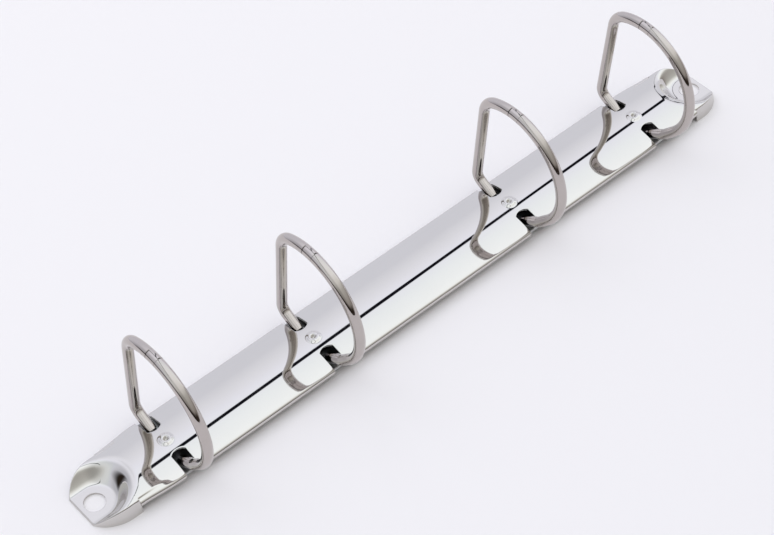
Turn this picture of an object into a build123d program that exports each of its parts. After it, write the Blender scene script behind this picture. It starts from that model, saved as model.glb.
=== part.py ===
"""Four-ring binder mechanism with D-shaped rings, modelled closed.

A sprung steel housing holds two hinge plates by their outer edges, in its rolled rims.
Each ring is two wire halves, one riveted to each plate, that pass up through slots in
the housing and meet in a stepped joint at the top. Pulling the rings apart swings both
plates about the rims, so that all four rings open together.

X runs along the housing, Y towards the straight legs of the rings, Z up from the
surface that the housing is riveted to. The origin is midway between the two rivet holes.
"""
import os
from math import acos, atan2, cos, degrees, radians, sin, sqrt, tan

from build123d import *

os.makedirs("parts", exist_ok=True)

# Ring stations, the hole spacing of a small four-hole sheet
outer_pitch = 45.0
middle_pitch = 65.0
inner_station = middle_pitch / 2
outer_station = inner_station + outer_pitch
stations = [-outer_station, -inner_station, inner_station, outer_station]

# Housing: one sheet, arched, with its long edges rolled in
housing_length = 206.0
sheet = 0.6
crest_height = 5.25
rim_y = 9.45
rim_z = 2.55
rim_radius = 1.05
lip_angle = -100.0
rim_end_x = 92.0

# Housing ends: a drawn skirt round a dished pad with the rivet hole
hole_spacing = 198.0
hole_diameter = 5.4
pad_half_width = 4.9
dish_wall_angle = 42.0
end_half_width = 9.7
end_corner_radius = 10.0
skirt_draft = 9.0
shoulder_radius = 1.1
end_start_x = 91.0

# Bosses pressed up on the crest, one at each ring
boss_base_radius = 2.0
boss_top_radius = 1.2
boss_height = 0.4
boss_pit_radius = 0.45
boss_pit_floor_radius = 0.15
boss_pit_depth = 0.25

# Slots that the ring feet pass through, open over the rim
slot_width = 4.06
slot_corner_y = 4.8
slot_bulge = 0.85

# Hinge plates
plate_thickness = 0.7
plate_half_length = 88.0
plate_span = 9.35
closed_angle = 9.0
tongue_width = 6.0
tongue_reach = 1.4
notch_clearance = 0.3
plate_edge_blend = 0.34
tongue_stations = [-75.0, -45.0, -15.0, 15.0, 45.0, 75.0]

# Ring wire: centre line in the YZ plane, straight half on the +Y side
wire_diameter = 2.8
arc_radius = 17.0
arc_centre_y = -2.15
arc_centre_z = 21.5
foot_y = 6.0
foot_z = 2.72
leg_bottom_y = 12.1
leg_bottom_z = 6.1
leg_lean = 8.35
leg_corner_radius = 6.5
leg_elbow_radius = 3.0
arc_end_angle = 224.0
tail_length = 4.6
tail_elbow_radius = 6.0

# Stepped joint at the top of each ring
joint_near_y = -1.9
joint_far_y = -4.8
joint_end_gap = 0.16
joint_side_gap = 0.08

# Rivet that fixes each ring half to its plate, measured in from the hinge line
rivet_inset = 2.4
rivet_radius = 1.0
rivet_clearance = 0.02
rivet_head_radius = 1.5
rivet_head_height = 0.4
rivet_head_taper = 30.0

# Values worked out from the ones above
half_length = housing_length / 2
hole_x = hole_spacing / 2
rim_drop = crest_height - rim_z
arch_radius = (rim_y**2 + rim_drop**2 - rim_radius**2) / (2 * (rim_drop - rim_radius))
arch_centre_z = crest_height - arch_radius
rim_angle = degrees(atan2(rim_z - arch_centre_z, rim_y))
wire_radius = wire_diameter / 2
rivet_bite = wire_radius / 2

# Size of a cutter that reaches past whatever it cuts
clear = 20.0


def draw_housing_section():
    """Draws the rolled sheet's outline: arch outside and inside, both rims, closed at the lips."""
    rim_sweep = rim_angle - lip_angle
    for depth in (0.0, sheet):
        radius = rim_radius - depth
        CenterArc((0, arch_centre_z), arch_radius - depth, rim_angle, 180 - 2 * rim_angle)
        CenterArc((rim_y, rim_z), radius, lip_angle, rim_sweep)
        CenterArc((-rim_y, rim_z), radius, 180 - rim_angle, rim_sweep)
    for side in (1, -1):
        Line(lip_point(side, rim_radius), lip_point(side, rim_radius - sheet))


def lip_point(side, radius):
    """Point of a rim's circle at the end of its lip."""
    angle = radians(lip_angle)
    return (side * (rim_y + radius * cos(angle)), rim_z + radius * sin(angle))


def dish_profile(grow):
    """Half section of the dish about its axis, with its surface moved out by grow."""
    wall = radians(dish_wall_angle)
    floor_z = sheet - grow
    floor_radius = pad_half_width + grow * tan(wall / 2)
    top_z = crest_height + sheet
    top_radius = floor_radius + (top_z - floor_z) / tan(wall)
    return floor_z, floor_radius, top_z, top_radius


def dish(grow):
    """Space of the dish: a round bowl about the rivet hole, open to the end."""
    floor_z, floor_radius, top_z, top_radius = dish_profile(grow)
    with BuildPart() as bowl:
        with BuildSketch(Plane.XZ.move(Location((hole_x, 0, 0)))):
            Polygon((0, floor_z), (floor_radius, floor_z), (top_radius, top_z), (0, top_z), align=None)
        revolve(axis=Axis((hole_x, 0, 0), (0, 0, 1)))
        with BuildSketch(Plane.YZ.offset(hole_x)):
            Polygon(
                (-floor_radius, floor_z),
                (floor_radius, floor_z),
                (top_radius, top_z),
                (-top_radius, top_z),
                align=None,
            )
        extrude(amount=clear)
    return bowl.part


def draw_end_side(inset, side):
    """Draws one side of an end's plan, moved in by inset: back, straight side, corner arc, front."""
    front_x = half_length - inset
    width = end_half_width - inset
    corner = end_corner_radius - inset
    corner_rise = end_corner_radius + pad_half_width - end_half_width
    corner_x = half_length - sqrt(end_corner_radius**2 - corner_rise**2)
    front_angle = degrees(acos((front_x - corner_x) / corner))
    front_y = width - corner + corner * sin(radians(front_angle))
    Polyline((0, 0), (0, side * width), (corner_x, side * width))
    CenterArc((corner_x, side * (width - corner)), corner, side * front_angle, side * (90 - front_angle))
    Line((front_x, side * front_y), (front_x, 0))


def end_block(inset):
    """Solid under the end's outer surface, moved in by inset: arch, round shoulder, drafted skirt."""
    with BuildPart() as block:
        with BuildSketch():
            with BuildLine():
                for side in (-1, 1):
                    draw_end_side(inset / cos(radians(skirt_draft)), side)
            make_face()
        extrude(amount=crest_height + sheet, taper=skirt_draft)
        with BuildSketch(Plane.YZ):
            with Locations((0, arch_centre_z)):
                Circle(arch_radius - inset)
        extrude(amount=half_length + clear, mode=Mode.INTERSECT)
        crown = block.faces().sort_by(Axis.Z)[-1]
        shoulder = crown.edges().filter_by(lambda edge: abs((edge @ 0.5).Y) > pad_half_width)
        fillet(shoulder, shoulder_radius - inset)
    return block.part


def end_shell():
    """One dished end of the sheet, at the +X end."""
    solid = end_block(0) - dish(0)
    hollow = end_block(sheet) - dish(sheet)
    kept_x = half_length - end_start_x
    with BuildPart() as shell:
        add(solid)
        add(hollow, mode=Mode.SUBTRACT)
        with Locations((end_start_x + kept_x / 2, 0, 0)):
            Box(kept_x, 2 * clear, 2 * clear, mode=Mode.INTERSECT)
    return shell.part


def slot_cutters():
    """Blocks that cut the eight slots: straight sides and a bulged inner end."""
    half = slot_width / 2
    with BuildPart() as cutters:
        with BuildSketch():
            for x in stations:
                for side in (1, -1):
                    with BuildLine():
                        inner = (x - half, side * slot_corner_y), (x + half, side * slot_corner_y)
                        ThreePointArc(inner[0], (x, side * (slot_corner_y - slot_bulge)), inner[1])
                        Polyline(inner[1], (x + half, side * clear), (x - half, side * clear), inner[0])
                    make_face()
        extrude(amount=clear)
    return cutters.part


def bosses():
    """Pressed bosses on the crest, each with a small pit in its top."""
    with BuildPart() as raised:
        for x in stations:
            with Locations((x, 0, crest_height - sheet / 2)):
                Cylinder(boss_base_radius, sheet / 2, align=(Align.CENTER, Align.CENTER, Align.MIN))
            with Locations((x, 0, crest_height)):
                Cone(
                    boss_base_radius,
                    boss_top_radius,
                    boss_height,
                    align=(Align.CENTER, Align.CENTER, Align.MIN),
                )
            with Locations((x, 0, crest_height + boss_height)):
                Cone(
                    boss_pit_floor_radius,
                    boss_pit_radius,
                    boss_pit_depth,
                    align=(Align.CENTER, Align.CENTER, Align.MAX),
                    mode=Mode.SUBTRACT,
                )
    return raised.part


def plate_plane(side, height=0.0):
    """Plane of a closed hinge plate, through its hinge line; local Y points to +Y."""
    tilt = radians(closed_angle)
    middle = Plane(
        origin=(0, side * rim_y, rim_z),
        x_dir=(1, 0, 0),
        z_dir=(0, -side * sin(tilt), cos(tilt)),
    )
    return middle.offset(height)


def draw_plate(side, tongues, notches):
    """Draws a hinge plate's outline with its tongues, notches and rivet holes."""
    edge = plate_thickness / 2
    notch_depth = tongue_reach + notch_clearance
    with Locations((0, side * (edge - plate_span) / 2)):
        Rectangle(2 * plate_half_length, plate_span + edge)
    with Locations(*[(x, -side * (plate_span + tongue_reach / 2)) for x in tongues]):
        Rectangle(tongue_width, tongue_reach)
    with Locations(*[(x, -side * (plate_span - notch_depth / 2)) for x in notches]):
        Rectangle(tongue_width + 2 * notch_clearance, notch_depth, mode=Mode.SUBTRACT)
    with Locations(*[(x, -side * rivet_inset) for x in stations]):
        Circle(rivet_radius + rivet_clearance, mode=Mode.SUBTRACT)


def circle_point(angle):
    """Point of the rings' large arc at an angle in degrees from +Y."""
    turn = radians(angle)
    return (arc_centre_y + arc_radius * cos(turn), arc_centre_z + arc_radius * sin(turn))


def arc_angle(y):
    """Angle at which the upper part of the rings' large arc reaches a given Y."""
    return degrees(acos((y - arc_centre_y) / arc_radius))


def leg_length():
    """Length of the straight leg, up to the top corner's tangent arc inside the large arc."""
    lean = radians(leg_lean)
    reach = arc_radius - leg_corner_radius
    from_centre_y = leg_bottom_y - leg_corner_radius * cos(lean) - arc_centre_y
    from_centre_z = leg_bottom_z - leg_corner_radius * sin(lean) - arc_centre_z
    along = from_centre_z * cos(lean) - from_centre_y * sin(lean)
    gap = from_centre_y**2 + from_centre_z**2 - reach**2
    return sqrt(along**2 - gap) - along


def draw_straight_path():
    """Draws the straight half's centre line: foot, leg, top corner, start of the large arc."""
    lean = radians(leg_lean)
    top_y = leg_bottom_y - leg_length() * sin(lean)
    top_z = leg_bottom_z + leg_length() * cos(lean)
    corner_y = top_y - leg_corner_radius * cos(lean)
    corner_z = top_z - leg_corner_radius * sin(lean)
    meet = degrees(atan2(corner_z - arc_centre_z, corner_y - arc_centre_y))
    FilletPolyline(
        (foot_y, foot_z),
        (leg_bottom_y, leg_bottom_z),
        (top_y, top_z),
        radius=leg_elbow_radius,
    )
    CenterArc((corner_y, corner_z), leg_corner_radius, leg_lean, meet - leg_lean)
    CenterArc((arc_centre_y, arc_centre_z), arc_radius, meet, arc_angle(joint_far_y) - meet)


def draw_curved_path():
    """Draws the curved half's centre line: large arc, tangent tail, elbow, foot."""
    start = arc_angle(joint_near_y)
    end = circle_point(arc_end_angle)
    turn = radians(arc_end_angle)
    elbow = (end[0] - tail_length * sin(turn), end[1] + tail_length * cos(turn))
    CenterArc((arc_centre_y, arc_centre_z), arc_radius, start, arc_end_angle - start)
    FilletPolyline(end, elbow, (-foot_y, foot_z), radius=tail_elbow_radius)


def cut_joint_step(x, side):
    """Cuts a half's end back beside its tongue, on the side that the other half's tongue fills."""
    step_y = joint_near_y + joint_end_gap if side > 0 else joint_far_y - joint_end_gap
    tongue_face = x + side * joint_side_gap / 2
    with Locations((tongue_face, step_y, arc_centre_z + arc_radius)):
        Box(
            clear,
            clear,
            2 * wire_diameter,
            align=(
                Align.MAX if side > 0 else Align.MIN,
                Align.MAX if side > 0 else Align.MIN,
                Align.CENTER,
            ),
            mode=Mode.SUBTRACT,
        )


def plate_room(x, side):
    """Space that a closed hinge plate takes up under a foot."""
    with BuildPart() as room:
        with BuildSketch(plate_plane(side, plate_thickness / 2)):
            with Locations((x, -side * plate_span / 2)):
                Rectangle(clear, 2 * plate_span)
        extrude(amount=-clear)
    return room.part


def rivet(x, side):
    """Rivet from inside a foot, down through the plate to its head under it."""
    with BuildPart() as pin:
        with BuildSketch(plate_plane(side, plate_thickness / 2 + rivet_bite)):
            with Locations((x, -side * rivet_inset)):
                Circle(rivet_radius)
        extrude(amount=-plate_thickness - rivet_bite)
        with BuildSketch(plate_plane(side, -plate_thickness / 2)):
            with Locations((x, -side * rivet_inset)):
                Circle(rivet_head_radius)
        extrude(amount=-rivet_head_height, taper=rivet_head_taper)
    return pin.part


with BuildPart() as housing:
    with BuildSketch(Plane.YZ.offset(-rim_end_x)):
        with BuildLine():
            draw_housing_section()
        make_face()
    extrude(amount=2 * rim_end_x)
    dished_end = end_shell()
    add(dished_end)
    add(mirror(dished_end, about=Plane.YZ))
    add(bosses())
    add(slot_cutters(), mode=Mode.SUBTRACT)
    with Locations((hole_x, 0, 0), (-hole_x, 0, 0)):
        Cylinder(hole_diameter / 2, clear, mode=Mode.SUBTRACT)
housing.part.label = "housing"
export_step(housing.part, "parts/housing.step")

for name, side in (("straight_side_plate", 1), ("curved_side_plate", -1)):
    tongues = tongue_stations[0::2] if side > 0 else tongue_stations[1::2]
    notches = tongue_stations[1::2] if side > 0 else tongue_stations[0::2]
    with BuildPart() as plate:
        with BuildSketch(plate_plane(side, -plate_thickness / 2)):
            draw_plate(side, tongues, notches)
        extrude(amount=plate_thickness)
        outward = plate.edges().filter_by(Axis.X).sort_by(Axis.Y, reverse=side > 0)
        fillet(outward[:2], plate_edge_blend)
    plate.part.label = name
    export_step(plate.part, f"parts/{name}.step")

for number, x in enumerate(stations, start=1):
    with BuildPart() as straight_half:
        with BuildLine(Plane.YZ.offset(x)) as path:
            draw_straight_path()
        with BuildSketch(Plane(origin=path.wire() @ 0, z_dir=path.wire() % 0)):
            Circle(wire_radius)
        sweep(path=path.wire())
        cut_joint_step(x, 1)
        add(plate_room(x, 1), mode=Mode.SUBTRACT)
        add(rivet(x, 1))
    straight_half.part.label = f"straight_ring_half_{number}"
    export_step(straight_half.part, f"parts/straight_ring_half_{number}.step")

    with BuildPart() as curved_half:
        with BuildLine(Plane.YZ.offset(x)) as path:
            draw_curved_path()
        with BuildSketch(Plane(origin=path.wire() @ 0, z_dir=path.wire() % 0)):
            Circle(wire_radius)
        sweep(path=path.wire())
        cut_joint_step(x, -1)
        add(plate_room(x, -1), mode=Mode.SUBTRACT)
        add(rivet(x, -1))
    curved_half.part.label = f"curved_ring_half_{number}"
    export_step(curved_half.part, f"parts/curved_ring_half_{number}.step")
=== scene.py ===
"""Looks of a four-ring binder mechanism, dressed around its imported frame.

The housing and the ring halves are smooth shells and swept wires that stand for the
solids of the same names. The hinge plates keep their solids and get a finish. All
lengths are in metres, in the row frame: X along the housing, Y towards the straight
legs of the rings, Z up from the plane that the housing is riveted to.
"""
import logging
from dataclasses import dataclass, field
from enum import Enum

import bmesh
import bpy
import numpy as np
from mathutils import Matrix, Vector

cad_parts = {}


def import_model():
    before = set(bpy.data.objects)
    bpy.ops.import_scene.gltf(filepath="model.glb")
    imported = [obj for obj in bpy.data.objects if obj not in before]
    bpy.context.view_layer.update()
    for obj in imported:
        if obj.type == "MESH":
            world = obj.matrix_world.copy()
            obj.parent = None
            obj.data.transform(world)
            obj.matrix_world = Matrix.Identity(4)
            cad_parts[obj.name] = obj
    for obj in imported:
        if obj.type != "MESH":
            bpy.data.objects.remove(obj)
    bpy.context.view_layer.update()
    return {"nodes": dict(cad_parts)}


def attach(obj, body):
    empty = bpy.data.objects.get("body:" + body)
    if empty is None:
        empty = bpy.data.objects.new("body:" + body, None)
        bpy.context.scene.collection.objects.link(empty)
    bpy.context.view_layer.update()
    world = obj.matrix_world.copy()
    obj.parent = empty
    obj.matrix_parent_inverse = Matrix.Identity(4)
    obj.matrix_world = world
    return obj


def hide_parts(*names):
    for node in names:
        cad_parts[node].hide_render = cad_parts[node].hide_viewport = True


log = logging.getLogger("binder_mechanism")

MM = 0.001
# Points nearer than this are one point, in millimetres
MERGE = 0.002
# Slack where a place is compared with a grid line's, in millimetres
SLACK = 1e-6
# Radius that stands for a point where a turned profile closes, in millimetres
POINT = 0.0001
# Values of the haze noise at which a metal is clean and at which it is fully hazy
HAZE_SPAN = (0.35, 0.75)
# Places of a colour mix node's sockets, which share their names with its number sockets
COLOUR_A = 6
COLOUR_B = 7
COLOUR_OUT = 2


class Side(Enum):
    """The two sides of the mechanism, with the sign of their Y."""

    STRAIGHT = 1
    CURVED = -1

    @property
    def plate(self) -> str:
        """Name of this side's hinge plate node."""
        return f"{self.name.lower()}_side_plate"

    @property
    def body(self) -> str:
        """Name of the body that this side's pieces ride on."""
        return f"{self.name.lower()}_side"

    def ring_half(self, number: int) -> str:
        """Name of this side's half of a ring."""
        return f"{self.name.lower()}_ring_half_{number}"


def linear(hex_colour: str) -> tuple[float, float, float, float]:
    """Turns an sRGB hex colour into linear RGBA.

    Args:
        hex_colour: Six hex digits after a number sign.

    Returns:
        Linear red, green, blue and an alpha of one.
    """
    parts = [int(hex_colour[i : i + 2], 16) / 255 for i in (1, 3, 5)]
    lin = [p / 12.92 if p <= 0.04045 else ((p + 0.055) / 1.055) ** 2.4 for p in parts]
    return lin[0], lin[1], lin[2], 1.0


def add_node(
    tree: bpy.types.NodeTree, kind: str, inputs: dict | None = None, **settings: object
) -> bpy.types.Node:
    """Adds a node with its settings, socket values and links.

    Args:
        tree: Node tree that the node joins.
        kind: Blender's type name of the node.
        inputs: Socket name or number to a value, or to an output socket to link from.
        settings: Properties set on the node itself.

    Returns:
        The new node.
    """
    node = tree.nodes.new(kind)
    for name, value in settings.items():
        setattr(node, name, value)
    for key, value in (inputs or {}).items():
        socket = node.inputs[key]
        if isinstance(value, bpy.types.NodeSocket):
            tree.links.new(value, socket)
        else:
            socket.default_value = value
    return node


def mix_colours(
    tree: bpy.types.NodeTree, share: bpy.types.NodeSocket, first: object, second: object
) -> bpy.types.NodeSocket:
    """Adds a mix of two colours by the second one's share, and returns its output socket."""
    inputs = {0: share, COLOUR_A: first, COLOUR_B: second}
    return add_node(tree, "ShaderNodeMix", inputs, data_type="RGBA").outputs[COLOUR_OUT]


@dataclass(frozen=True)
class MetalFinish:
    """A plated or rolled metal surface.

    Attributes:
        name: What the metal is and how its surface was made.
        colour: Reflected colour, sRGB hex.
        shade: Colour of the thinner patches of the plating, sRGB hex.
        roughness: Roughness of the clean surface.
        haze: Roughness added where the surface is hazy from handling.
        haze_size: Size of a hazy patch.
        wave: Height of the slow waves that rolling leaves, or 0 for none.
        wave_size: Length of such a wave.
    """

    name: str
    colour: str
    shade: str
    roughness: float
    haze: float
    haze_size: float
    wave: float = 0.0
    wave_size: float = 1.0 * MM

    def material(self) -> bpy.types.Material:
        """Builds the material from its object's own coordinates.

        Returns:
            The new material.
        """
        mat = bpy.data.materials.new(self.name)
        mat.use_nodes = True
        tree = mat.node_tree
        shader = tree.nodes["Principled BSDF"]
        shader.inputs["Metallic"].default_value = 1.0
        place = add_node(tree, "ShaderNodeTexCoord").outputs["Object"]
        haze = add_node(
            tree,
            "ShaderNodeTexNoise",
            {"Vector": place, "Scale": 1 / self.haze_size, "Detail": 4.0, "Roughness": 0.6},
        )
        tone = mix_colours(tree, haze.outputs["Fac"], linear(self.shade), linear(self.colour))
        rough = add_node(
            tree,
            "ShaderNodeMapRange",
            {
                "Value": haze.outputs["Fac"],
                "From Min": HAZE_SPAN[0],
                "From Max": HAZE_SPAN[1],
                "To Min": self.roughness,
                "To Max": self.roughness + self.haze,
            },
        )
        tree.links.new(tone, shader.inputs["Base Color"])
        tree.links.new(rough.outputs["Result"], shader.inputs["Roughness"])
        if self.wave > 0:
            wave = add_node(
                tree,
                "ShaderNodeTexNoise",
                {"Vector": place, "Scale": 1 / self.wave_size, "Detail": 1.0},
            )
            bump = add_node(
                tree,
                "ShaderNodeBump",
                {"Height": wave.outputs["Fac"], "Distance": self.wave, "Strength": 1.0},
            )
            tree.links.new(bump.outputs["Normal"], shader.inputs["Normal"])
        return mat


# Bright nickel plate on pressed steel sheet: a clear mirror, light grey and hardly warm
HOUSING_NICKEL = MetalFinish(
    name="bright_nickel_plated_sheet",
    colour="#D2CFCC",
    shade="#CECBC8",
    roughness=0.015,
    haze=0.03,
    haze_size=9 * MM,
)
# Bright nickel plate on drawn steel wire: a warmer, slightly softer mirror
RING_NICKEL = MetalFinish(
    name="nickel_plated_drawn_wire",
    colour="#C0B9B5",
    shade="#B9B2AE",
    roughness=0.05,
    haze=0.05,
    haze_size=3 * MM,
)
# Zinc plate on rolled steel strip: duller, seen through the slots and from below
PLATE_STEEL = MetalFinish(
    name="zinc_plated_rolled_strip",
    colour="#C9CBCC",
    shade="#B4B6B7",
    roughness=0.28,
    haze=0.12,
    haze_size=5 * MM,
    wave=0.004 * MM,
    wave_size=1.2 * MM,
)


def dress(obj: bpy.types.Object, material: bpy.types.Material) -> None:
    """Gives an object one material in all its slots."""
    obj.data.materials.clear()
    obj.data.materials.append(material)


def smoothstep(value: np.ndarray) -> np.ndarray:
    """Rises from 0 to 1 as the value does, with level ends: 3 t squared minus 2 t cubed."""
    t = np.clip(value, 0.0, 1.0)
    return t * t * (3.0 - 2.0 * t)


def lower_blend(a: np.ndarray, b: np.ndarray, reach: float) -> np.ndarray:
    """Lower of two heights, less reach / 4 times the square of 1 - |a - b| / reach, if any."""
    near = np.clip(1.0 - np.abs(a - b) / reach, 0.0, 1.0)
    return np.minimum(a, b) - near * near * reach / 4.0


def grid_quads(rows: int, columns: int, keep: np.ndarray | None = None) -> np.ndarray:
    """Quads between neighbouring points of a grid, numbered row by row.

    Args:
        rows: Number of points along the first parameter.
        columns: Number of points along the second.
        keep: Mask of the cells to keep, rows - 1 by columns - 1.

    Returns:
        Four point numbers for each quad, anticlockwise when the first parameter points
        right and the second one up.
    """
    index = np.arange(rows * columns).reshape(rows, columns)
    corners = (index[:-1, :-1], index[1:, :-1], index[1:, 1:], index[:-1, 1:])
    quads = np.stack(corners, axis=-1)
    return quads.reshape(-1, 4) if keep is None else quads[keep]


def make_piece(
    name: str, points: np.ndarray, faces: list, material: bpy.types.Material
) -> bpy.types.Object:
    """Makes a mesh object from points in millimetres.

    Args:
        name: Name of the piece.
        points: One row of X, Y, Z for each vertex.
        faces: Vertex numbers of each face.
        material: Finish of the whole piece.

    Returns:
        The new object, at the origin, with its doubled vertices merged.
    """
    mesh = bpy.data.meshes.new(name)
    mesh.from_pydata((points * MM).tolist(), [], faces)
    shape = bmesh.new()
    shape.from_mesh(mesh)
    bmesh.ops.remove_doubles(shape, verts=shape.verts, dist=MERGE * MM)
    loose = [v for v in shape.verts if not v.link_faces]
    bmesh.ops.delete(shape, geom=loose, context="VERTS")
    shape.to_mesh(mesh)
    shape.free()
    mesh.materials.append(material)
    obj = bpy.data.objects.new(name, mesh)
    bpy.context.scene.collection.objects.link(obj)
    return obj


def settle(obj: bpy.types.Object, sharp_degrees: float, floor: float | None = None) -> None:
    """Applies an object's modifiers and shades it smooth between its sharp edges.

    Args:
        obj: The piece, with its modifiers still live.
        sharp_degrees: Angle between faces above which their edge stays sharp.
        floor: Lowest height that a vertex may have, in millimetres.
    """
    bpy.context.view_layer.update()
    solid = obj.evaluated_get(bpy.context.evaluated_depsgraph_get())
    mesh = bpy.data.meshes.new_from_object(solid)
    obj.modifiers.clear()
    old = obj.data
    obj.data = mesh
    bpy.data.meshes.remove(old)
    mesh.name = obj.name
    if floor is not None:
        places = np.empty(len(mesh.vertices) * 3)
        mesh.vertices.foreach_get("co", places)
        places[2::3] = np.maximum(places[2::3], floor * MM)
        mesh.vertices.foreach_set("co", places)
    mesh.shade_smooth()
    mesh.set_sharp_from_angle(angle=np.radians(sharp_degrees))


@dataclass
class Housing:
    """The pressed sheet: an arch with rolled rims, eight slots, four bosses and two dished ends.

    All sizes are in millimetres.
    """

    stations: tuple = (-77.5, -32.5, 32.5, 77.5)
    sheet: float = 0.6
    crest: float = 5.25
    rim_y: float = 9.45
    rim_z: float = 2.55
    rim_radius: float = 1.05
    lip_angle: float = -100.0
    rim_end: float = 92.0
    slot_half_width: float = 2.03
    slot_corner_y: float = 4.8
    slot_bulge: float = 0.85
    boss_top: float = 1.1
    boss_foot: float = 2.1
    boss_height: float = 0.4
    boss_reach: float = 2.4
    pit_radius: float = 0.85
    pit_depth: float = 0.85
    taper_start: float = 81.0
    rim_taper: float = 0.8
    join_x: float = 86.5
    join_y: float = 8.2
    hole_x: float = 99.0
    hole_radius: float = 2.7
    half_length: float = 103.0
    pad_half_width: float = 4.9
    dish_wall: float = 42.0
    dish_swell: float = 0.6
    end_half_width: float = 9.7
    end_corner: float = 10.0
    skirt_draft: float = 9.0
    shoulder: float = 2.6
    ridge: float = 1.3
    floor_round: float = 0.5
    edge_break: float = 0.05
    sharp_angle: float = 50.0
    arch_radius: float = field(init=False)
    arch_centre: float = field(init=False)
    rim_angle: float = field(init=False)
    arch_length: float = field(init=False)

    def __post_init__(self) -> None:
        """Works out the arch that meets both rims in a tangent."""
        drop = self.crest - self.rim_z
        square = self.rim_y**2 + drop**2 - self.rim_radius**2
        self.arch_radius = square / (2 * (drop - self.rim_radius))
        self.arch_centre = self.crest - self.arch_radius
        self.rim_angle = np.arctan2(self.rim_z - self.arch_centre, self.rim_y)
        self.arch_length = self.arch_radius * (np.pi / 2 - self.rim_angle)

    def arch(self, y: np.ndarray) -> np.ndarray:
        """Height of the arch at Y: a circle about the arch's centre line."""
        return self.arch_centre + np.sqrt(self.arch_radius**2 - y * y)

    def section(self, along: np.ndarray) -> tuple[np.ndarray, np.ndarray]:
        """Point of the sheet's outer face at a signed length along it from the crest.

        Up to the arch's length the point turns about the arch's centre, and past it about
        the rim's centre, both at one unit of length a unit.

        Args:
            along: Lengths along the section, with the sign of Y.

        Returns:
            Y and Z of each point.
        """
        side = np.sign(along)
        length = np.abs(along)
        turn = length / self.arch_radius
        arch_y = self.arch_radius * np.sin(turn)
        arch_z = self.arch_centre + self.arch_radius * np.cos(turn)
        roll = self.rim_angle - (length - self.arch_length) / self.rim_radius
        rim_y = self.rim_y + self.rim_radius * np.cos(roll)
        rim_z = self.rim_z + self.rim_radius * np.sin(roll)
        on_arch = length <= self.arch_length
        return side * np.where(on_arch, arch_y, rim_y), np.where(on_arch, arch_z, rim_z)

    def along(self, y: float) -> float:
        """Length along the arch from the crest to Y."""
        return self.arch_radius * np.arcsin(y / self.arch_radius)

    def from_ring(self, x: np.ndarray) -> np.ndarray:
        """Distance along X to the nearest ring."""
        return np.abs(x[..., None] - np.array(self.stations)).min(axis=-1)

    def x_lines(self) -> np.ndarray:
        """Places of the grid lines across the housing, close together at each ring.

        Lines too close to a slot's side or to the join with an end are left out.

        Returns:
            X of each line, rising.
        """
        too_close, join_gap = 0.04, 0.3
        wide_start, wide_stop, wide_pace = 3.0, 10.1, 0.7
        coarse_stop, coarse_pace, coarse_gap = 66.0, 3.0, 10.4
        slot_side = self.slot_half_width
        fine = np.linspace(-self.boss_reach, self.boss_reach, 33)
        fine = fine[np.abs(np.abs(fine) - slot_side) > too_close]
        wide = np.arange(wide_start, wide_stop, wide_pace)
        near = np.concatenate([fine, -wide, wide, [-slot_side, slot_side]])
        local = (np.array(self.stations)[:, None] + near[None, :]).ravel()
        local = local[np.abs(local) < self.join_x - join_gap]
        coarse = np.arange(-coarse_stop, coarse_stop + 0.1, coarse_pace)
        coarse = coarse[self.from_ring(coarse) > coarse_gap]
        ends = np.linspace(self.join_x, self.rim_end, 8)
        return np.unique(np.round(np.concatenate([local, coarse, ends, -ends]), 6))

    def section_lines(self) -> np.ndarray:
        """Places on the section of the grid lines along the housing, closest on the rims.

        Returns:
            Signed length of each line from the crest, rising.
        """
        edge = self.along(self.slot_corner_y)
        join = self.along(self.join_y)
        rim = self.rim_radius * (self.rim_angle - np.radians(self.lip_angle))
        half = np.concatenate(
            [
                np.linspace(0.0, self.boss_reach, 17)[1:],
                np.linspace(self.boss_reach, edge, 6)[1:],
                np.linspace(edge, join, 8)[1:],
                np.linspace(join, self.arch_length, 5)[1:],
                self.arch_length + np.linspace(0.0, rim, 19)[1:],
            ]
        )
        return np.concatenate([-half[::-1], [0.0], half])

    def boss_rise(self, x: np.ndarray, y: np.ndarray) -> np.ndarray:
        """Height of the bosses over the arch: a smooth round step less a small round pit.

        Args:
            x: Places along the housing.
            y: Places across it.

        Returns:
            The height to add at each place.
        """
        radius = np.hypot(self.from_ring(x), y)
        step = 1.0 - smoothstep((radius - self.boss_top) / (self.boss_foot - self.boss_top))
        pit = 1.0 - smoothstep(radius / self.pit_radius)
        return self.boss_height * step - self.pit_depth * pit

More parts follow.
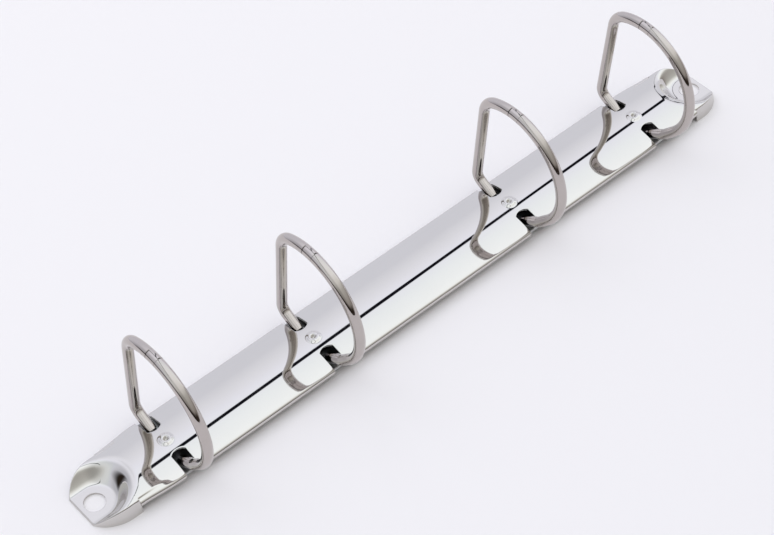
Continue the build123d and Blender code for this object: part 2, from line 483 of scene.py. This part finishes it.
    def body_grid(self) -> tuple[np.ndarray, np.ndarray]:
        """Points and quads of the arched length with its rims, open at the slots.

        Over a slot's width the lines between the bosses and the slot are drawn in or out, so
        that one of them follows the slot's round inner end. Towards each end of the housing
        the rims are drawn in by rim_taper, times a smooth step of X and one of Y.

        Returns:
            One row of X, Y, Z for each point, and four point numbers for each quad.
        """
        lines, rows = self.x_lines(), self.section_lines()
        x, along = np.meshgrid(lines, rows, indexing="ij")
        gap = self.from_ring(x)
        bulge_radius = (self.slot_half_width**2 + self.slot_bulge**2) / (2 * self.slot_bulge)
        inside = gap <= self.slot_half_width + SLACK
        half_chord = np.minimum(gap, self.slot_half_width)
        sagitta = bulge_radius - np.sqrt(bulge_radius**2 - half_chord**2)
        edge_y = self.slot_corner_y - self.slot_bulge + sagitta
        edge = self.along(self.slot_corner_y)
        still = self.boss_reach
        pull = (self.along(edge_y) - still) / (edge - still)
        moved = np.sign(along) * (still + (np.abs(along) - still) * pull)
        between = inside & (np.abs(along) > still) & (np.abs(along) <= edge + SLACK)
        along = np.where(between, moved, along)
        y, z = self.section(along)
        z = z + self.boss_rise(x, y)
        near_end = smoothstep((np.abs(x) - self.taper_start) / (self.rim_end - self.taper_start))
        at_rim = smoothstep((np.abs(y) - self.join_y) / (self.rim_y - self.join_y))
        y = y - np.sign(y) * self.rim_taper * near_end * at_rim
        mid_x = (lines[1:] + lines[:-1]) / 2
        mid_along = np.abs((rows[1:] + rows[:-1]) / 2)
        mid_gap = self.from_ring(mid_x)
        join = self.along(self.join_y)
        in_slot = (mid_gap[:, None] < self.slot_half_width) & (mid_along[None, :] > edge)
        in_end = (np.abs(mid_x)[:, None] > self.join_x) & (mid_along[None, :] < join)
        points = np.stack([x, y, z], axis=-1).reshape(-1, 3)
        return points, grid_quads(len(lines), len(rows), ~(in_slot | in_end))

    def end_corner_centre(self) -> tuple[float, float, float]:
        """Centre of the round corner between an end's side and its straight front.

        Returns:
            X and Y of the centre, and the distance along Y from it to the front's end.
        """
        rise = self.end_corner + self.pad_half_width - self.end_half_width
        x = self.half_length - np.sqrt(self.end_corner**2 - rise**2)
        return x, self.end_half_width - self.end_corner, rise

    def end_height(self, x: np.ndarray, y: np.ndarray) -> np.ndarray:
        """Height of an end's upper face over a point of the plan.

        It is the lower of the arch, the drafted skirt and the dish, with round blends: the
        skirt rises with the distance in from the outline, the dish with the distance from the
        hole's axis, or from the centre line beyond it. The dish's wall is steeper halfway up,
        by dish_swell times the difference between a smooth step and a straight line.

        Args:
            x: Places along the housing, on its +X side.
            y: Places across it.

        Returns:
            The height at each place.
        """
        side = np.abs(y)
        above_all = 50.0
        corner_x, corner_y, _ = self.end_corner_centre()
        round_in = self.end_corner - np.hypot(x - corner_x, side - corner_y)
        inset = np.where(x > corner_x, round_in, self.end_half_width - side)
        inset = np.minimum(inset, self.half_length - x)
        skirt = inset / np.tan(np.radians(self.skirt_draft))
        skirt = np.where(x < self.rim_end - SLACK, above_all, skirt)
        from_axis = np.where(x > self.hole_x, side, np.hypot(x - self.hole_x, y))
        past_floor = from_axis - self.pad_half_width
        climb = -lower_blend(-past_floor, np.zeros_like(past_floor), self.floor_round)
        wall = (self.crest - self.sheet) / np.tan(np.radians(self.dish_wall))
        swell = wall * (smoothstep(climb / wall) - climb / wall)
        swell = np.where(climb < wall, swell, 0.0)
        dish = self.sheet + (climb + self.dish_swell * swell) * np.tan(np.radians(self.dish_wall))
        top = lower_blend(self.arch(y), skirt, self.shoulder)
        return np.maximum(lower_blend(top, dish, self.ridge), 0.0)

    def end_outline(self) -> np.ndarray:
        """Plan of the +X end's edge, anticlockwise, with the body's own grid lines at the join.

        Returns:
            One row of X, Y for each point.
        """
        rows = self.section_lines()
        join_y = self.section(rows[np.abs(rows) <= self.along(self.join_y) + SLACK])[0]
        lines = self.x_lines()
        join_x = lines[lines >= self.join_x - SLACK]
        side_y = np.linspace(self.join_y, self.end_half_width, 8)[1:]
        corner_x, corner_y, rise = self.end_corner_centre()
        side_x = np.linspace(self.rim_end, corner_x, 6)[1:]
        stop = np.arcsin(rise / self.end_corner)
        turn = np.linspace(np.pi / 2, stop, 28)[1:]
        front_y = np.linspace(self.pad_half_width, -self.pad_half_width, 18)[1:]
        upper = np.concatenate(
            [
                np.stack([join_x[1:], np.full(len(join_x) - 1, self.join_y)], axis=1),
                np.stack([np.full(len(side_y), self.rim_end), side_y], axis=1),
                np.stack([side_x, np.full(len(side_x), self.end_half_width)], axis=1),
                np.stack(
                    [
                        corner_x + self.end_corner * np.cos(turn),
                        corner_y + self.end_corner * np.sin(turn),
                    ],
                    axis=1,
                ),
            ]
        )
        lower = upper[::-1][1:] * np.array([1.0, -1.0])
        back = np.stack([np.full(len(join_y), self.join_x), join_y], axis=1)
        front = np.stack([np.full(len(front_y), self.half_length), front_y], axis=1)
        return np.concatenate([back, upper, front, lower])[::-1]

    def end_grid(self, side: int) -> tuple[np.ndarray, np.ndarray]:
        """Points and quads of one dished end: lines from the hole's edge out to the outline.

        Args:
            side: Sign of the end's X.

        Returns:
            One row of X, Y, Z for each point, and four point numbers for each quad.
        """
        # Share of the way out past which the points lie closer, for the skirt's edge
        fine_from = 0.84
        outline = self.end_outline()
        outline = np.concatenate([outline, outline[:1]])
        axis = np.array([self.hole_x, 0.0])
        ray = outline - axis
        start = axis + ray * (self.hole_radius / np.hypot(*ray.T))[:, None]
        share = np.concatenate(
            [np.linspace(0.0, fine_from, 42), np.linspace(fine_from, 1.0, 22)[1:]]
        )
        plan = start[None] + (outline - start)[None] * share[:, None, None]
        x, y = plan[..., 0], plan[..., 1]
        z = self.end_height(x, y)
        points = np.stack([side * x, y, z], axis=-1).reshape(-1, 3)
        quads = grid_quads(len(share), len(outline))
        return points, quads if side > 0 else quads[:, ::-1]

    def build(self, material: bpy.types.Material) -> bpy.types.Object:
        """Joins the body and both ends, gives the sheet its thickness and breaks its edges.

        Args:
            material: Finish of the sheet.

        Returns:
            The piece that stands for the housing.
        """
        parts = [self.body_grid(), self.end_grid(1), self.end_grid(-1)]
        starts = np.cumsum([0] + [len(points) for points, _ in parts[:-1]])
        points = np.concatenate([points for points, _ in parts])
        faces = np.concatenate([quads + start for (_, quads), start in zip(parts, starts)])
        obj = make_piece("housing_sheet", points, faces.tolist(), material)
        wall = obj.modifiers.new("sheet", "SOLIDIFY")
        wall.thickness = self.sheet * MM
        wall.offset = -1.0
        wall.use_even_offset = False
        soft = obj.modifiers.new("edge", "BEVEL")
        soft.width = self.edge_break * MM
        soft.segments = 2
        soft.limit_method = "ANGLE"
        soft.angle_limit = np.radians(self.sharp_angle)
        settle(obj, self.sharp_angle, floor=0.0)
        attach(obj, "housing")
        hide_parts("housing")
        return obj


@dataclass
class RingHalf:
    """One half of a ring: bent wire with a stepped joint at its top and a rivet at its foot.

    All sizes are in millimetres. The centre line lies in the YZ plane at the ring's station.
    """

    side: Side
    number: int
    station: float
    wire: float = 2.8
    arc_radius: float = 17.0
    arc_y: float = -2.15
    arc_z: float = 21.5
    foot: tuple = (6.0, 2.72)
    leg_bottom: tuple = (12.1, 6.1)
    leg_lean: float = 8.35
    leg_corner: float = 6.5
    leg_elbow: float = 3.0
    tail_angle: float = 224.0
    tail_length: float = 4.6
    tail_elbow: float = 6.0
    step_near: float = -1.9
    step_far: float = -4.8
    end_gap: float = 0.16
    side_gap: float = 0.08
    edge_break: float = 0.07
    sharp_angle: float = 40.0
    around: int = 40
    bend_pace: float = 0.3
    arc_pace: float = 0.35
    rim_y: float = 9.45
    rim_z: float = 2.55
    plate: float = 0.7
    plate_tilt: float = 9.0
    rivet_inset: float = 2.4
    rivet_radius: float = 1.0
    rivet_above: float = 0.5
    head_radius: float = 1.5
    head_height: float = 0.4

    def arc_angle(self, y: float) -> float:
        """Angle at which the upper part of the large arc reaches Y, in radians."""
        return float(np.arccos((y - self.arc_y) / self.arc_radius))

    @staticmethod
    def arc(centre: tuple, radius: float, start: float, stop: float, pace: float) -> np.ndarray:
        """Points of an arc: centre plus radius times cosine and sine.

        Args:
            centre: Y and Z of the centre.
            radius: Radius of the arc.
            start: Angle of the first point from +Y, in radians.
            stop: Angle of the last point.
            pace: Distance from one point to the next, about.

        Returns:
            One row of Y, Z for each point.
        """
        count = max(3, int(abs(stop - start) * radius / pace) + 1)
        turn = np.linspace(start, stop, count)
        y = centre[0] + radius * np.cos(turn)
        z = centre[1] + radius * np.sin(turn)
        return np.stack([y, z], axis=1)

    def elbow(
        self, before: np.ndarray, corner: np.ndarray, after: np.ndarray, radius: float
    ) -> np.ndarray:
        """Points of the arc that rounds a corner.

        It touches both lines at radius times the tangent of half the turn from the corner.

        Args:
            before: A point of the line that leads to the corner.
            corner: The corner.
            after: A point of the line that leads away.
            radius: Radius of the arc.

        Returns:
            One row of Y, Z for each point.
        """
        into = (corner - before) / np.hypot(*(corner - before))
        out = (after - corner) / np.hypot(*(after - corner))
        turn = np.arctan2(into[0] * out[1] - into[1] * out[0], into @ out)
        normal = np.array([-into[1], into[0]]) * np.sign(turn)
        start = corner - into * radius * np.tan(abs(turn) / 2)
        centre = start + normal * radius
        first = np.arctan2(*(start - centre)[::-1])
        return self.arc(tuple(centre), radius, first, first + turn, self.bend_pace)

    def straight_line(self) -> np.ndarray:
        """Centre line of the straight half, from its foot to the tip of its tongue.

        The leg is as long as it takes for its corner's arc to touch the large arc from inside.

        Returns:
            One row of Y, Z for each point.
        """
        foot_points, leg_points = 14, 24
        lean = np.radians(self.leg_lean)
        foot, bottom = np.array(self.foot), np.array(self.leg_bottom)
        up = np.array([-np.sin(lean), np.cos(lean)])
        inward = np.array([-np.cos(lean), -np.sin(lean)])
        reach = self.arc_radius - self.leg_corner
        base = bottom + inward * self.leg_corner - np.array([self.arc_y, self.arc_z])
        length = np.sqrt((base @ up) ** 2 - (base @ base - reach**2)) - base @ up
        top = bottom + up * length
        corner = top + inward * self.leg_corner
        meet = np.arctan2(corner[1] - self.arc_z, corner[0] - self.arc_y)
        bend = self.elbow(foot, bottom, top, self.leg_elbow)
        leg = bend[-1] + (top - bend[-1]) * np.linspace(0, 1, leg_points)[1:-1, None]
        foot_run = foot + (bend[0] - foot) * np.linspace(0, 1, foot_points)[:-1, None]
        crown = self.arc(tuple(corner), self.leg_corner, lean, meet, self.bend_pace)
        tip = self.arc_angle(self.step_far)
        large = self.arc((self.arc_y, self.arc_z), self.arc_radius, meet, tip, self.arc_pace)
        return np.concatenate([foot_run, bend, leg, crown, large[1:]])

    def curved_line(self) -> np.ndarray:
        """Centre line of the curved half, from its foot to the tip of its tongue.

        The large arc runs on straight by tail_length to the corner that an elbow rounds.

        Returns:
            One row of Y, Z for each point.
        """
        foot_points, tail_points = 18, 12
        stop = np.radians(self.tail_angle)
        centre = np.array([self.arc_y, self.arc_z])
        end = centre + self.arc_radius * np.array([np.cos(stop), np.sin(stop)])
        corner = end + self.tail_length * np.array([-np.sin(stop), np.cos(stop)])
        foot = np.array([-self.foot[0], self.foot[1]])
        bend = self.elbow(foot, corner, end, self.tail_elbow)
        foot_run = foot + (bend[0] - foot) * np.linspace(0, 1, foot_points)[:-1, None]
        tail = bend[-1] + (end - bend[-1]) * np.linspace(0, 1, tail_points)[1:-1, None]
        tip = self.arc_angle(self.step_near)
        large = self.arc((self.arc_y, self.arc_z), self.arc_radius, stop, tip, self.arc_pace)
        return np.concatenate([foot_run, bend, tail, large])

    def stepped_line(self) -> tuple[np.ndarray, np.ndarray, int]:
        """Centre line with the joint's step in it.

        The step takes two points in one place, so that the wire's circle can change there at
        once. One more point lies an edge_break before the step, and one before the tip.

        Returns:
            One row of Y, Z for each point, the unit slope there, and the number of the
            step's first point.
        """
        straight = self.side is Side.STRAIGHT
        line = self.straight_line() if straight else self.curved_line()
        step_y = self.step_near + self.end_gap if straight else self.step_far - self.end_gap
        past = self.arc_angle(step_y)
        on_top = line[:, 1] > self.arc_z + self.arc_radius / 2
        angle = np.arctan2(line[:, 1] - self.arc_z, line[:, 0] - self.arc_y)
        tongue = on_top & ((angle > past) if straight else (angle < past))
        first = int(np.argmax(tongue))
        way = np.array([np.cos(past), np.sin(past)])
        back = np.array([way[1], -way[0]]) * (1 if straight else -1)
        step = np.array([self.arc_y, self.arc_z]) + self.arc_radius * way
        tip = line[-1]
        ahead = (tip - line[-2]) / np.hypot(*(tip - line[-2]))
        at_step = [step + back * self.edge_break, step, step]
        at_tip = [tip - ahead * self.edge_break, tip]
        line = np.concatenate([line[:first], at_step, line[first:-1], at_tip])
        slope = np.gradient(line, axis=0)
        slope[[first + 1, first + 2]] = -back
        slope[-1] = ahead
        slope /= np.hypot(*slope.T)[:, None]
        return line, slope, first + 1

    def wire_grid(self) -> tuple[np.ndarray, list]:
        """Points and faces of the wire: a circle carried along the centre line.

        Past the step the circle is cut off flat at the ring's middle plane, and at the foot
        it is cut off flat on the plate. The circles at the step and the tip are drawn in.

        Returns:
            One row of X, Y, Z for each point, and the point numbers of each face.
        """
        line, slope, step = self.stepped_line()
        radius = np.full(len(line), self.wire / 2)
        radius[[step, -1]] -= self.edge_break
        normal = np.stack([-slope[:, 1], slope[:, 0]], axis=1)
        turn = np.linspace(0, 2 * np.pi, self.around, endpoint=False)
        out = np.cos(turn)[None, :] * radius[:, None]
        x = np.sin(turn)[None, :] * radius[:, None]
        cut = self.side_gap / 2
        half = np.maximum(x, cut) if self.side is Side.STRAIGHT else np.minimum(x, -cut)
        past_step = np.arange(len(line)) > step
        x = np.where(past_step[:, None], half, x)
        y = line[:, :1] + out * normal[:, :1]
        z = line[:, 1:] + out * normal[:, 1:]
        tilt = np.radians(self.plate_tilt)
        away = self.rim_y - self.side.value * y
        plate_top = self.rim_z + self.plate / 2 / np.cos(tilt) - away * np.tan(tilt)
        z = np.where(np.abs(y) < self.rim_y, np.maximum(z, plate_top), z)
        points = np.stack([x + self.station, y, z], axis=-1).reshape(-1, 3)
        index = np.arange(z.size).reshape(z.shape)
        closed = np.concatenate([index, index[:, :1]], axis=1)
        corners = (closed[:-1, :-1], closed[:-1, 1:], closed[1:, 1:], closed[1:, :-1])
        quads = np.stack(corners, axis=-1).reshape(-1, 4)
        caps = [index[0, ::-1].tolist(), index[-1].tolist()]
        return points, quads.tolist() + caps

    def rivet_grid(self) -> tuple[np.ndarray, list]:
        """Points and faces of the rivet: a profile turned about the plate's normal.

        Returns:
            One row of X, Y, Z for each point, and four point numbers for each face.
        """
        top = self.plate / 2 + self.rivet_above
        under = -self.plate / 2
        low = under - self.head_height
        # Radius and height, from the shank's top over the head's round edge to its middle
        profile = np.array(
            [
                (POINT, top),
                (self.rivet_radius, top),
                (self.rivet_radius, under + 0.01),
                (self.head_radius, under + 0.01),
                (self.head_radius, under - 0.08),
                (self.head_radius - 0.12, under - 0.22),
                (self.head_radius - 0.45, low + 0.05),
                (self.head_radius - 0.8, low),
                (POINT, low),
            ]
        )
        turn = np.linspace(0, 2 * np.pi, 33)
        radius = profile[:, :1]
        local_x = radius * np.cos(turn)
        local_y = radius * np.sin(turn)
        height = np.broadcast_to(profile[:, 1:], local_x.shape)
        tilt = np.radians(self.plate_tilt) * self.side.value
        hinge_y = self.side.value * self.rim_y
        along = local_y - self.side.value * self.rivet_inset
        y = hinge_y + along * np.cos(tilt) - height * np.sin(tilt)
        z = self.rim_z + along * np.sin(tilt) + height * np.cos(tilt)
        points = np.stack([local_x + self.station, y, z], axis=-1).reshape(-1, 3)
        return points, grid_quads(len(profile), len(turn)).tolist()

    def build(self, material: bpy.types.Material) -> bpy.types.Object:
        """Builds the wire and its rivet as one piece on this side's body.

        Args:
            material: Finish of the wire and the rivet.

        Returns:
            The piece that stands for this ring half.
        """
        points, faces = self.wire_grid()
        pin, pin_faces = self.rivet_grid()
        shift = len(points)
        faces = faces + [[v + shift for v in f] for f in pin_faces]
        node = self.side.ring_half(self.number)
        obj = make_piece(node + "_wire", np.concatenate([points, pin]), faces, material)
        settle(obj, self.sharp_angle)
        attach(obj, self.side.body)
        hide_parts(node)
        return obj


@dataclass
class Studio:
    """Floor, world, lamp and camera of a small product photograph.

    Attributes:
        floor_size: Side of the square floor, in metres.
        board_colour: Colour of the floor, sRGB hex.
        panel_tones: Tones of the panels, sRGB hex, each at a share of the half turn from the
            +Y horizon over the zenith to the -Y horizon.
        panel_strength: Strength of the panels.
        west_dim: Strength of the panels towards -X, as a share of panel_strength.
        west_span: X of a direction where the dimmer panels end and the full ones start.
        gap_slope: Direction of the dark gap in the plane overhead, as Y over X.
        gap_offset: Place of the gap where X is zero, as Y over Z.
        gap_half_width: Half of the gap's width, as Y over Z.
        gap_closed: Half width that stands for no gap.
        gap_span: X over Z where the gap is closed and where it has its full width.
        gap_edge: Shares of the half width between which the gap fades out.
        gap_colour: Colour of the gap, sRGB hex.
        horizon_way: Direction towards which the horizon is dark.
        horizon_side: How far a direction points that way where the dark starts and is full.
        horizon_rise: Z of a direction where the dark starts and where it is full.
        horizon_colour: Colour of the dark horizon, sRGB hex.
        lamp_size: Length and width of the lamp, in metres.
        lamp_place: Middle of the lamp, in metres.
        lamp_power: Power of the lamp, in watts.
        focal_pixels: Focal length of the photograph's camera, in its pixels.
        image_width: Width of the photograph, in pixels.
        sensor: Width of the camera's sensor, in millimetres.
        far_clip: Farthest distance that the camera shows, in metres.
        camera_place: Place of the camera, in metres.
        camera_right: Direction of the picture's right side.
        camera_up: Direction of the picture's upper side.
    """

    floor_size: float = 6.0
    board_colour: str = "#F0ECEE"
    panel_tones: tuple = (
        (0.00, "#D0D2DC"),
        (0.20, "#D2D4DE"),
        (0.26, "#DDDFE8"),
        (0.31, "#E5E7F1"),
        (0.35, "#EAEDF9"),
        (0.43, "#F0F6FB"),
        (0.52, "#F7FCFF"),
        (0.62, "#F4F8F9"),
        (0.70, "#E2E4E2"),
        (0.77, "#B8B9B5"),
        (0.92, "#938F8B"),
        (1.00, "#7C7772"),
    )
    panel_strength: float = 1.45
    west_dim: float = 0.72
    west_span: tuple = (-0.6, -0.1)
    gap_slope: float = 0.53
    gap_offset: float = 0.185
    gap_half_width: float = 0.032
    gap_closed: float = 0.0001
    gap_span: tuple = (-1.3, -0.6)
    gap_edge: tuple = (0.8, 1.2)
    gap_colour: str = "#101118"
    horizon_way: tuple = (-0.85, -0.53, 0.0)
    horizon_side: tuple = (-0.05, 0.3)
    horizon_rise: tuple = (0.32, 0.13)
    horizon_colour: str = "#2E2722"
    lamp_size: tuple = (0.7, 0.4)
    lamp_place: tuple = (-0.15, 0.45, 0.6)
    lamp_power: float = 0.6
    focal_pixels: float = 2067.1
    image_width: float = 774.0
    sensor: float = 36.0
    far_clip: float = 20.0
    camera_place: tuple = (-211.2 * MM, -269.9 * MM, 391.35 * MM)
    camera_right: tuple = (0.7559, -0.6520, -0.0595)
    camera_up: tuple = (0.5187, 0.5410, 0.6621)

    def camera(self) -> None:
        """Sets the camera that was fitted to the photograph."""
        data = bpy.data.cameras.new("camera")
        data.sensor_width = self.sensor
        data.lens = self.sensor * self.focal_pixels / self.image_width
        data.clip_end = self.far_clip
        obj = bpy.data.objects.new("camera", data)
        bpy.context.scene.collection.objects.link(obj)
        right = Vector(self.camera_right).normalized()
        up = Vector(self.camera_up)
        up = (up - right * up.dot(right)).normalized()
        back = right.cross(up)
        turn = Matrix((right, up, back)).transposed().to_4x4()
        obj.matrix_world = Matrix.Translation(self.camera_place) @ turn
        bpy.context.scene.camera = obj

    def floor(self) -> None:
        """Adds the plain pale floor, which keeps the object's shadow."""
        half = self.floor_size / 2
        mesh = bpy.data.meshes.new("floor")
        corners = [(-half, -half, 0), (half, -half, 0), (half, half, 0), (-half, half, 0)]
        mesh.from_pydata(corners, [], [(0, 1, 2, 3)])
        obj = bpy.data.objects.new("floor", mesh)
        bpy.context.scene.collection.objects.link(obj)
        mat = bpy.data.materials.new("matt_pale_board")
        mat.use_nodes = True
        tree = mat.node_tree
        tree.nodes.clear()
        board = add_node(tree, "ShaderNodeBsdfDiffuse", {"Color": linear(self.board_colour)})
        add_node(tree, "ShaderNodeOutputMaterial", {"Surface": board.outputs[0]})
        mesh.materials.append(mat)

    @staticmethod
    def math(tree: bpy.types.NodeTree, operation: str, *values: object) -> bpy.types.NodeSocket:
        """Adds one operation on numbers or sockets, and returns its output socket."""
        node = add_node(tree, "ShaderNodeMath", dict(enumerate(values)), operation=operation)
        return node.outputs[0]

    @staticmethod
    def step(
        tree: bpy.types.NodeTree,
        value: bpy.types.NodeSocket,
        span: tuple,
        levels: tuple = (0.0, 1.0),
        kind: str = "SMOOTHSTEP",
    ) -> bpy.types.NodeSocket:
        """Adds a step between two levels.

        Args:
            tree: Node tree that the step joins.
            value: Socket of the value that the step follows.
            span: Values at which the step starts and ends.
            levels: What comes out up to the start and from the end on.
            kind: Blender's name of the curve between them.

        Returns:
            The step's output socket.
        """
        inputs = {"Value": value, "From Min": span[0], "From Max": span[1]}
        inputs |= {"To Min": levels[0], "To Max": levels[1]}
        node = add_node(tree, "ShaderNodeMapRange", inputs, interpolation_type=kind)
        return node.outputs["Result"]

    def panel_tone(
        self, tree: bpy.types.NodeTree, north: bpy.types.NodeSocket, height: bpy.types.NodeSocket
    ) -> bpy.types.NodeSocket:
        """Adds the panels' tone at a direction's angle about X.

        Args:
            tree: Node tree that the tone joins.
            north: Y of the direction.
            height: Z of the direction.

        Returns:
            The tone's output socket.
        """
        angle = self.math(tree, "ARCTAN2", height, north)
        turn = self.math(tree, "DIVIDE", angle, float(np.pi))
        ramp = add_node(tree, "ShaderNodeValToRGB", {0: turn})
        band = ramp.color_ramp
        while len(band.elements) > 1:
            band.elements.remove(band.elements[-1])
        band.elements[0].position = self.panel_tones[0][0]
        band.elements[0].color = linear(self.panel_tones[0][1])
        for position, colour in self.panel_tones[1:]:
            band.elements.new(position).color = linear(colour)
        return ramp.outputs["Color"]

    def off_gap(
        self,
        tree: bpy.types.NodeTree,
        east: bpy.types.NodeSocket,
        north: bpy.types.NodeSocket,
        height: bpy.types.NodeSocket,
    ) -> bpy.types.NodeSocket:
        """Adds a value that is 0 in the dark gap overhead and 1 off it.

        Args:
            tree: Node tree that the value joins.
            east: X of the direction.
            north: Y of the direction.
            height: Z of the direction.

        Returns:
            The value's output socket.
        """
        across = self.math(tree, "MULTIPLY_ADD", east, -self.gap_slope, north)
        place = self.math(tree, "DIVIDE", across, height)
        away = self.math(tree, "ABSOLUTE", self.math(tree, "SUBTRACT", place, self.gap_offset))
        widths = (self.gap_closed, self.gap_half_width)
        side = self.math(tree, "DIVIDE", east, height)
        width = self.step(tree, side, self.gap_span, widths, kind="LINEAR")
        return self.step(tree, self.math(tree, "DIVIDE", away, width), self.gap_edge)

    def dark_horizon(
        self, tree: bpy.types.NodeTree, way: bpy.types.NodeSocket, height: bpy.types.NodeSocket
    ) -> bpy.types.NodeSocket:
        """Adds a value that is 1 low on the near side and 0 elsewhere.

        Args:
            tree: Node tree that the value joins.
            way: The direction.
            height: Z of the direction.

        Returns:
            The value's output socket.
        """
        facing = add_node(
            tree, "ShaderNodeVectorMath", {0: way, 1: self.horizon_way}, operation="DOT_PRODUCT"
        )
        near_side = self.step(tree, facing.outputs["Value"], self.horizon_side)
        low = self.step(tree, height, self.horizon_rise)
        return self.math(tree, "MULTIPLY", near_side, low)

    def world(self) -> None:
        """Surrounds the object with soft panels, as a function of direction alone.

        The angle about X from the +Y horizon over the zenith picks the tone, from a pale grey
        panel behind the housing to a white one overhead. Between them is a straight dark gap
        in the plane overhead, where (y - gap_slope x) / z is gap_offset. It closes towards -X.
        The horizon on the near side is dark. Camera and mirror surfaces see the same world.
        """
        world = bpy.data.worlds.new("studio")
        world.use_nodes = True
        bpy.context.scene.world = world
        tree = world.node_tree
        tree.nodes.clear()
        way = add_node(tree, "ShaderNodeTexCoord").outputs["Generated"]
        axes = add_node(tree, "ShaderNodeSeparateXYZ", {0: way})
        east, north, height = (axes.outputs[name] for name in "XYZ")
        tone = self.panel_tone(tree, north, height)
        off_gap = self.off_gap(tree, east, north, height)
        panels = mix_colours(tree, off_gap, linear(self.gap_colour), tone)
        dark = self.dark_horizon(tree, way, height)
        room = mix_colours(tree, dark, panels, linear(self.horizon_colour))
        levels = (self.west_dim * self.panel_strength, self.panel_strength)
        strength = self.step(tree, east, self.west_span, levels)
        studio = add_node(tree, "ShaderNodeBackground", {"Color": room, "Strength": strength})
        add_node(tree, "ShaderNodeOutputWorld", {"Surface": studio.outputs[0]})

    def lamp(self) -> None:
        """Adds one broad soft lamp behind the straight legs, which throws the shadow forward.

        Mirror surfaces don't show it, so that it leaves no square highlight.
        """
        data = bpy.data.lights.new("soft_panel", "AREA")
        data.shape = "RECTANGLE"
        data.size, data.size_y = self.lamp_size
        data.energy = self.lamp_power
        obj = bpy.data.objects.new("soft_panel", data)
        bpy.context.scene.collection.objects.link(obj)
        obj.visible_glossy = False
        place = Vector(self.lamp_place)
        turn = place.to_track_quat("Z", "Y").to_matrix().to_4x4()
        obj.matrix_world = Matrix.Translation(place) @ turn

    def build(self) -> None:
        """Builds the whole setting."""
        self.floor()
        self.world()
        self.lamp()
        self.camera()


def main() -> None:
    """Loads the frame, dresses each piece and sets the studio."""
    logging.basicConfig(level=logging.INFO, format="%(message)s")
    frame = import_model()
    view = bpy.context.scene.view_settings
    view.view_transform = "Standard"
    sheet_nickel = HOUSING_NICKEL.material()
    wire_nickel = RING_NICKEL.material()
    strip = PLATE_STEEL.material()
    housing = Housing()
    log.info("built %s", housing.build(sheet_nickel).name)
    for number, station in enumerate(housing.stations, start=1):
        for side in Side:
            log.info("built %s", RingHalf(side, number, station).build(wire_nickel).name)
    for side in Side:
        dress(frame["nodes"][side.plate], strip)
        log.info("dressed %s", side.plate)
    Studio().build()
    bpy.context.view_layer.update()


if __name__ == "__main__":
    main()
